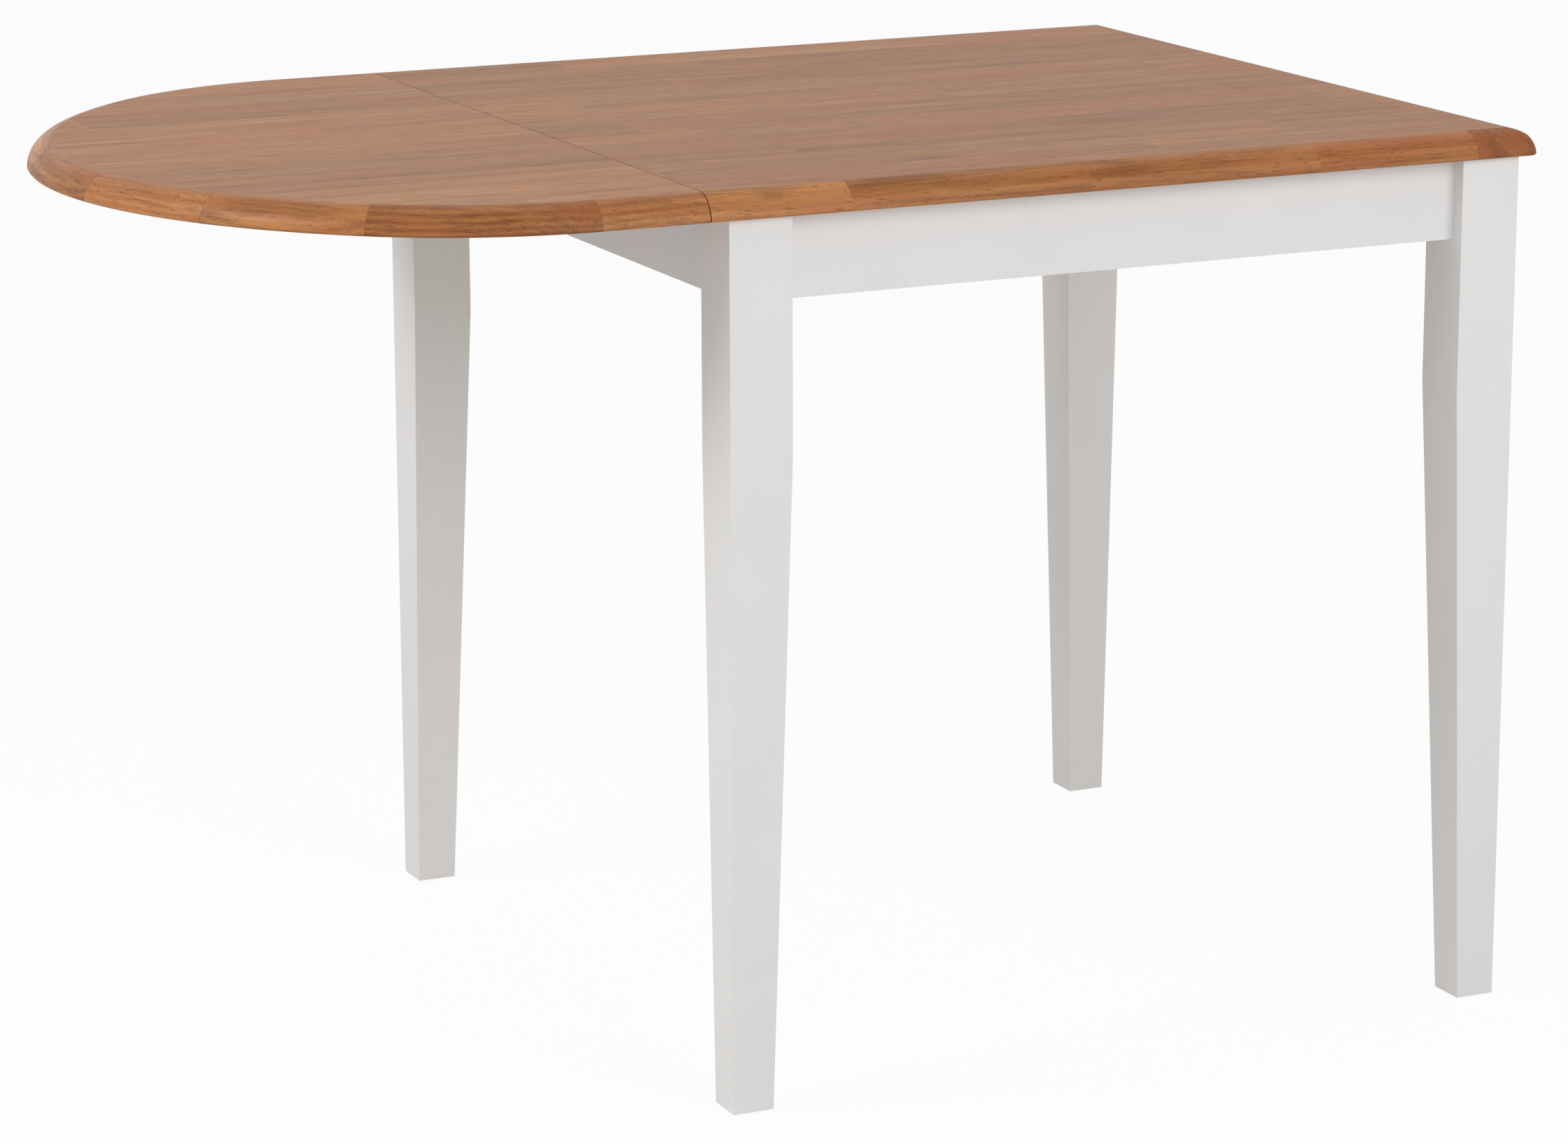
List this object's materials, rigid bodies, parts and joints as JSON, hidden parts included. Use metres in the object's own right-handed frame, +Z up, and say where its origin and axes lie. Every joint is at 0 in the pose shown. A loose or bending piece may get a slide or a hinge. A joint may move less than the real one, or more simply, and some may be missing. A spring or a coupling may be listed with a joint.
{
  "type": "drop-leaf table",
  "caption": "Rectangular table on tapered legs with a half-round drop leaf hinged to one end of its top and held level by folding props.",
  "frame": {"origin": "on the floor, under the middle of the table's bounding box with the leaf raised", "axes": "+X runs along the table from the leaf's tip to the fixed end, +Y from the front edge to the rear edge, +Z up"},
  "size_m": [1.1595, 0.7496, 0.75],
  "materials": {
    "veneer": "matt lacquered rubberwood veneer, stained a pinkish mid-brown",
    "solid_wood": "satin lacquered solid rubberwood lipping, stained orange-brown",
    "core_board": "bare particle board",
    "white_paint": "satin white painted wood",
    "raw_wood": "bare beech and pine",
    "zinc_plate": "zinc plated pressed steel",
    "steel": "bright cold-rolled steel",
    "shoe_rubber": "moulded black rubber",
    "glide_plastic": "moulded nylon"
  },
  "bodies": {
    "root": {"top_core": "core_board", "top_veneer": "veneer", "top_lipping_front": "solid_wood", "top_lipping_rear": "solid_wood", "top_lipping_end": "solid_wood", "top_seam_strip": "solid_wood", "leg_leaf_front": "white_paint", "leg_leaf_rear": "white_paint", "leg_end_front": "white_paint", "leg_end_rear": "white_paint", "apron_front": "white_paint", "apron_rear": "white_paint", "apron_leaf_end": "white_paint", "apron_fixed_end": "white_paint", "block_leaf_front": "raw_wood", "block_leaf_rear": "raw_wood", "block_end_front": "raw_wood", "block_end_rear": "raw_wood", "corner_bolts": "zinc_plate", "corner_washers": "zinc_plate", "corner_nuts": "zinc_plate", "block_screws": "zinc_plate", "apron_dowels": "raw_wood", "top_angles": "zinc_plate", "angle_screws": "zinc_plate", "foot_glides": "glide_plastic", "hinge_front_fixed": "zinc_plate", "hinge_front_pin": "steel", "hinge_middle_fixed": "zinc_plate", "hinge_middle_pin": "steel", "hinge_rear_fixed": "zinc_plate", "hinge_rear_pin": "steel", "hinge_screws_top": "zinc_plate", "prop_plate_front": "zinc_plate", "prop_plate_rear": "zinc_plate", "prop_screws_apron": "zinc_plate"},
    "leaf": {"leaf_core": "core_board", "leaf_veneer": "veneer", "leaf_lipping": "solid_wood", "leaf_seam_strip": "solid_wood", "hinge_front_moving": "zinc_plate", "hinge_middle_moving": "zinc_plate", "hinge_rear_moving": "zinc_plate", "hinge_screws_leaf": "zinc_plate", "prop_bracket_front": "zinc_plate", "prop_bracket_rear": "zinc_plate", "prop_pin_front": "steel", "prop_pin_rear": "steel", "prop_screws_leaf": "zinc_plate"},
    "prop_front": {"prop_front": "steel", "prop_shoe_front": "shoe_rubber"},
    "prop_rear": {"prop_rear": "steel", "prop_shoe_rear": "shoe_rubber"}
  },
  "joints": [
    {"name": "leaf_hinge", "type": "hinge", "parent": "root", "child": "leaf", "pos_m": [-0.17, 0, 0.724], "axis": [0, -1, 0], "range_deg": [0, 90]},
    {"name": "prop_front_pivot", "type": "hinge", "parent": "leaf", "child": "prop_front", "pos_m": [-0.32, -0.1, 0.716], "axis": [0, 1, 0], "range_deg": [0, 171]},
    {"name": "prop_rear_pivot", "type": "hinge", "parent": "leaf", "child": "prop_rear", "pos_m": [-0.32, 0.1, 0.716], "axis": [0, 1, 0], "range_deg": [0, 171]}
  ],
  "couplings": [
    {"joint": "prop_front_pivot", "follows": "leaf_hinge", "ratio": 1.9},
    {"joint": "prop_rear_pivot", "follows": "leaf_hinge", "ratio": 1.9}
  ]
}
